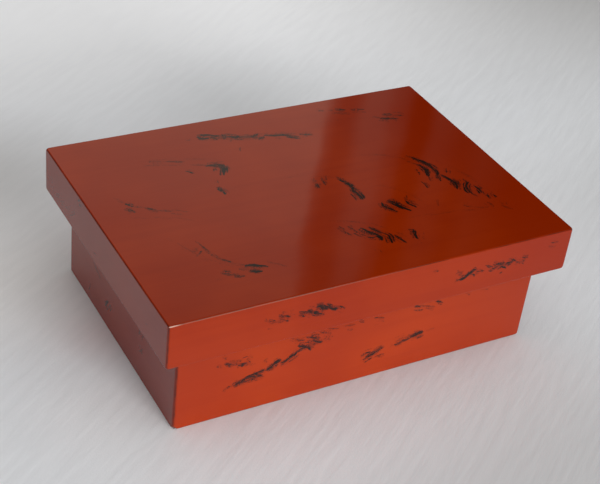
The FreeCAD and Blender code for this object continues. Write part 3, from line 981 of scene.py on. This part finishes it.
def dress_nodes(black):
    """Gives each CAD node that stays its wood, or its black lacquer, with the grain along it."""
    woods = {
        "along": wood("core_wood_along", *CYPRESS, 0),
        "across": wood("core_wood_across", *CYPRESS, 90),
        "rising": wood("feather_wood_rising", *HARD_WOOD, 45),
        "falling": wood("feather_wood_falling", *HARD_WOOD, 135),
        "peg": wood("peg_wood", *PALE_WOOD, 45),
    }
    for name, node in frame["nodes"].items():
        if node.hide_render:
            continue
        if "lacquer" in name:
            material = black
        elif "pegs" in name:
            material = woods["peg"]
        elif "feathers" in name:
            material = woods["rising" if name.endswith(("front_right", "back_left")) else "falling"]
        else:
            material = woods["across" if "left_" in name or "right_" in name else "along"]
        for place in node.material_slots:
            place.material = material


# Floor, world, light and camera

# The floor's reach in metres, its colours, with painted shade in front and near the lamp and
# painted light towards the back, and where along y one gives way to the next
FLOOR_REACH = 4.0
FLOOR_NEAR = (0.88, 0.895, 0.915, 1.0)
FLOOR_FAR_PAINTED_LIGHT = (0.93, 0.93, 0.935, 1.0)
FLOOR_FRONT_PAINTED_SHADE = (0.56, 0.565, 0.57, 1.0)
FLOOR_LAMP_PAINTED_SHADE = grey(0.30)
FLOOR_SHADE = grey(0.4)
FLOOR_FADE = (0.10, 0.32)
FLOOR_CLOSE = (-0.085, -0.17)
FLOOR_LAMP_FADE = (-1.00, -2.60)
# A painted glow of the far floor, which only the camera sees
FLOOR_PAINTED_GLOW = 0.14
FLOOR_ROUGHNESS = 0.8
FLOOR_CLOUDS = (5.0, 3.0, 0.5)
FLOOR_TOOTH = (1400.0, 3.0, 0.6)
FLOOR_STREAKS = ((40, 260, 1), 3.0, 0.5)
FLOOR_STREAK_HEADING = 35.0
FLOOR_RELIEF = 1.5e-4

# Round patches of painted shadow and painted light on the floor, each as its middle, reach and
# colour
FLOOR_PAINTED_SHADE_AND_LIGHT = (
    ((0.08, -0.16, 0), 0.16, (0.66, 0.665, 0.67, 1.0)),
    ((-0.10, 0.135, 0), 0.09, (0.71, 0.70, 0.69, 1.0)),
    ((0.40, 0.27, 0), 0.30, (0.52, 0.51, 0.50, 1.0)),
    ((0.25, -0.02, 0), 0.14, (0.66, 0.66, 0.66, 1.0)),
    ((-0.083, 0.012, 0), 0.036, (0.84, 0.73, 0.74, 1.0)),
    ((-0.096, -0.038, 0), 0.05, (0.98, 0.98, 0.99, 1.0)),
    ((-0.10, 0.06, 0), 0.08, (0.86, 0.84, 0.82, 1.0)),
    ((0.07, 0.15, 0), 0.10, (0.80, 0.81, 0.82, 1.0)),
)


def floor():
    """A pale painted floor, larger than any view shows, with painted light that brightens it to the
    back and makes it glow to the camera, and painted shade and light near the box and the lamp.
    """
    mesh = bpy.data.meshes.new("floor")
    ways = ((-1, -1), (1, -1), (1, 1), (-1, 1))
    corners = [(x * FLOOR_REACH, y * FLOOR_REACH, 0) for x, y in ways]
    mesh.from_pydata(corners, [], [(0, 1, 2, 3)])
    material, graph = new_material("floor")
    place = graph.coordinates()
    y = graph.split(place)[1]
    painted_far_light = graph.fade(y, *FLOOR_FADE)
    cloud = graph.noise(place, *FLOOR_CLOUDS)
    turn = (0, 0, -radians(FLOOR_STREAK_HEADING))
    turned = graph.add("Mapping", {"Vector": place, "Rotation": turn}).outputs[0]
    streaks = graph.lines(turned, *FLOOR_STREAKS)
    tooth = graph.noise(place, *FLOOR_TOOTH)
    # Painted shade in front of the box and near the lamp, and painted light towards the back
    colour = graph.mix(graph.fade(y, *FLOOR_CLOSE), FLOOR_NEAR, FLOOR_FRONT_PAINTED_SHADE)
    colour = graph.mix(graph.fade(y, *FLOOR_LAMP_FADE), colour, FLOOR_LAMP_PAINTED_SHADE)
    colour = graph.mix(painted_far_light, colour, FLOOR_FAR_PAINTED_LIGHT)
    # Painted light: the far floor glows to the camera alone
    painted_glow = graph.math("MULTIPLY", graph.add("LightPath", {}).outputs["Is Camera Ray"], painted_far_light)
    # Painted shadows and pools of painted light, in round patches
    for middle, reach, painted_light_tone in FLOOR_PAINTED_SHADE_AND_LIGHT:
        away = graph.add("VectorMath", {0: place, 1: middle}, operation="DISTANCE")
        share = graph.fade(away.outputs["Value"], reach, 0.0)
        colour = graph.mix(share, colour, painted_light_tone)
        painted_glow = graph.math("MULTIPLY", painted_glow, graph.math("SUBTRACT", 1.0, share))
    clouded, toothed = (graph.fade(noise, 0.3, 0.7, 0.0, 0.03) for noise in (cloud, tooth))
    streaked = graph.fade(streaks, 0.35, 0.65, 0.0, 0.05)
    shade = graph.math("ADD", graph.math("ADD", clouded, toothed), streaked)
    colour = graph.mix(shade, colour, FLOOR_SHADE)
    normal = graph.bump(graph.math("MULTIPLY_ADD", tooth, 0.25, streaks), FLOOR_RELIEF)
    painted_glow = graph.math("MULTIPLY", painted_glow, FLOOR_PAINTED_GLOW)
    graph.finish({"Base Color": colour, "Roughness": FLOOR_ROUGHNESS, "Normal": normal,
                  "Emission Color": FLOOR_FAR_PAINTED_LIGHT, "Emission Strength": painted_glow})
    mesh.materials.append(material)
    new_object("floor", mesh)


# What polished faces reflect of the room: the brightness at each heading, in degrees from +Y
# towards +X, and how it fades with the height above the horizon in degrees
ROOM_HEADINGS = ((-180, 0.14), (-120, 0.20), (-60, 0.10), (0, 0.12), (15, 0.0), (60, 0.0),
                 (110, 0.16), (150, 0.22), (180, 0.14))
WINDOW_HEADINGS = (
    (10, 0.0), (18, 0.73), (26, 0.76), (32.25, 0.71), (32.6, 0.26), (33.1, 0.13), (33.8, 0.14),
    (34.4, 0.33), (35.2, 0.31), (35.6, 0.18), (36.1, 0.12), (36.5, 0.01), (37.3, 0.0), (37.9, 0.10),
    (38.5, 0.08), (39.2, 0.02), (40.2, 0.06), (41.2, 0.03), (42.0, 0.0),
)
ROOM_HEIGHTS = ((0, 0.9), (28, 1.13), (33, 0.97), (36, 0.77), (39, 0.51), (50, 0.40), (90, 0.34))

# How far the window's edges lean to a degree of height, and the height where they don't
WINDOW_MIDDLE = 35.5
WINDOW_LEAN = 0.05

# Colours of the room in the polished faces, and of what lies behind the floor
ROOM_TINT = (0.98, 0.88, 0.76, 1.0)
BACKDROP = (0.56, 0.56, 0.575, 1.0)

# An overcast sky, of which a flat top gets as much as from an even one
SKY_BASE = 3 / 7
SKY_RISE = 6 / 7


def world():
    """Even light from all round, with a room that only shows in polished faces."""
    room = bpy.data.worlds.new("room")
    bpy.context.scene.world = room
    graph = Graph(room)
    direction = graph.coordinates("Generated")
    x, y, z = graph.split(direction)
    heading = graph.math("DEGREES", graph.math("ARCTAN2", x, y))
    height = graph.math("DEGREES", graph.math("ARCSINE", z))
    above = graph.math("SUBTRACT", height, WINDOW_MIDDLE)
    leaning = graph.math("MULTIPLY_ADD", above, WINDOW_LEAN, heading)
    walls, window = graph.levels(heading, ROOM_HEADINGS), graph.levels(leaning, WINDOW_HEADINGS)
    level = graph.math("ADD", walls, window)
    level = graph.math("MULTIPLY", level, graph.levels(height, ROOM_HEIGHTS))
    reflected = graph.add("Background", {0: ROOM_TINT, 1: level}).outputs[0]
    overcast = graph.math("MULTIPLY_ADD", z, SKY_RISE * AMBIENT_LEVEL, SKY_BASE * AMBIENT_LEVEL)
    lean = graph.add("VectorMath", {0: direction, 1: AMBIENT_LEAN}, operation="DOT_PRODUCT")
    overcast = graph.math("MULTIPLY", overcast, graph.math("ADD", lean.outputs["Value"], 1.0))
    sky = graph.add("Background", {0: grey(1.0), 1: overcast}).outputs[0]
    backdrop = graph.add("Background", {0: BACKDROP, 1: 1.0}).outputs[0]
    ray = graph.add("LightPath", {}).outputs
    seen = graph.add("MixShader", {0: ray["Is Glossy Ray"], 1: sky, 2: reflected}).outputs[0]
    seen = graph.add("MixShader", {0: ray["Is Camera Ray"], 1: seen, 2: backdrop}).outputs[0]
    graph.add("OutputWorld", {"Surface": seen})


def key_light():
    """One large soft lamp, at a level where a small face square to it gets the key level.

    Polished faces reflect the room in its place, so it glares from no side.
    """
    place = Vector(KEY_PLACE)
    data = bpy.data.lights.new("key", "AREA")
    data.shape = "RECTANGLE"
    data.size, data.size_y = KEY_SIZE
    data.energy = KEY_LEVEL * pi ** 2 * place.length_squared
    lamp = new_object("key", data)
    lamp.location = place
    lamp.rotation_euler = place.to_track_quat("Z", "Y").to_euler()
    lamp.visible_glossy = False


def camera():
    """The photograph's view."""
    data = bpy.data.cameras.new("camera")
    data.sensor_fit = "HORIZONTAL"
    data.sensor_width = SENSOR_WIDTH
    data.lens = CAMERA_LENS
    piece = new_object("camera", data)
    turns = (90 - CAMERA_DIP, 0, -CAMERA_HEADING)
    heading = Euler([radians(turn) for turn in turns]).to_matrix()
    roll = Matrix.Rotation(radians(CAMERA_ROLL), 3, "Z")
    piece.matrix_world = Matrix.LocRotScale(Vector(CAMERA_PLACE) * MM, heading @ roll, None)
    bpy.context.scene.camera = piece


def box_pieces():
    """The four coats that show, and the materials of all the rest."""
    base = Tray("base", "base_right_board", 1, BASE_CORNER_ROUND, BASE_FOOT_ROUND)
    lid = Tray("lid", "lid_right_rail", -1, LID_CORNER_ROUND, LID_TOP_ROUND)
    black = black_lacquer()
    for tray, painted_light_tone in ((base, BASE_PAINTED_LIGHT), (lid, LID_PAINTED_SHADE)):
        red_coat(tray, red_lacquer(tray.name, painted_light_tone))
        black_coat(tray, black)
    dress_nodes(black)


camera()
box_pieces()
floor()
world()
key_light()
bpy.context.scene.view_settings.view_transform = "Standard"
